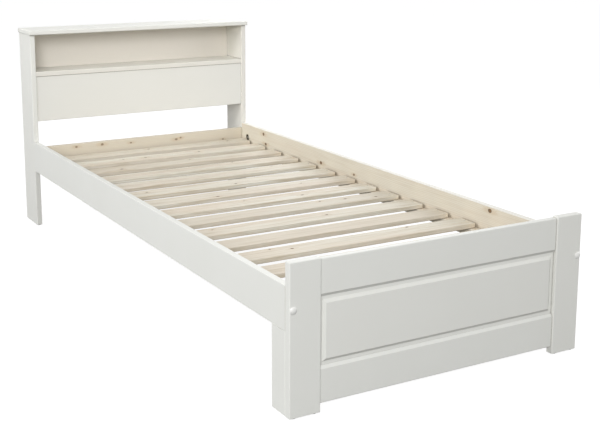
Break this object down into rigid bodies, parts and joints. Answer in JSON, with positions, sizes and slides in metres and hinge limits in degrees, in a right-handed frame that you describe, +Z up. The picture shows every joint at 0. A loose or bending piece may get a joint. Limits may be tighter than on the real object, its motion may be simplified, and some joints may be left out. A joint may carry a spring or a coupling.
{
  "type": "bed frame",
  "caption": "Single bed frame in white-painted pine with a shelf headboard, a raised-panel footboard, bolted side rails and a natural pine slatted base.",
  "frame": {"origin": "on the floor, under the middle of the whole bed's box", "axes": "+X to the right seen from the foot, +Y from the foot to the head, +Z up"},
  "size_m": [0.956, 2.2036, 0.785],
  "materials": {
    "white_painted_pine": "white satin paint",
    "natural_pine": "planed, unpainted",
    "beech": "fluted dowel, unpainted",
    "zinc_steel": "bright zinc plated",
    "white_cap_plastic": "moulded, satin",
    "grey_glide_plastic": "moulded"
  },
  "bodies": {
    "root": {"head_side_left": "white_painted_pine", "head_side_right": "white_painted_pine", "head_top_board": "white_painted_pine", "head_shelf": "white_painted_pine", "head_front_panel": "white_painted_pine", "head_back_panel": "white_painted_pine", "side_rail_left": "white_painted_pine", "side_rail_right": "white_painted_pine", "foot_post_left": "white_painted_pine", "foot_post_right": "white_painted_pine", "foot_leg_return_left": "white_painted_pine", "foot_leg_return_right": "white_painted_pine", "foot_top_rail": "white_painted_pine", "foot_raised_panel": "white_painted_pine", "foot_bottom_rail": "white_painted_pine", "head_cross_rail": "natural_pine", "slat_ledger_left": "natural_pine", "slat_ledger_right": "natural_pine", "slat_01": "natural_pine", "slat_02": "natural_pine", "slat_03": "natural_pine", "slat_04": "natural_pine", "slat_05": "natural_pine", "slat_06": "natural_pine", "slat_07": "natural_pine", "slat_08": "natural_pine", "slat_09": "natural_pine", "slat_10": "natural_pine", "slat_11": "natural_pine", "slat_12": "natural_pine", "slat_13": "natural_pine", "slat_14": "natural_pine", "rail_dowels": "beech", "leg_dowels": "beech", "foot_rail_dowels": "beech", "cross_rail_dowels": "beech", "front_panel_dowels": "beech", "shelf_dowels": "beech", "top_board_dowels": "beech", "foot_bolts": "zinc_steel", "foot_barrel_nuts": "zinc_steel", "head_hanger_bolts": "zinc_steel", "head_half_moon_washers": "zinc_steel", "head_hanger_nuts": "zinc_steel", "ledger_screws": "zinc_steel", "slat_screws": "zinc_steel", "back_panel_nails": "zinc_steel", "foot_bolt_caps": "white_cap_plastic", "leg_glides": "grey_glide_plastic"}
  },
  "joints": []
}
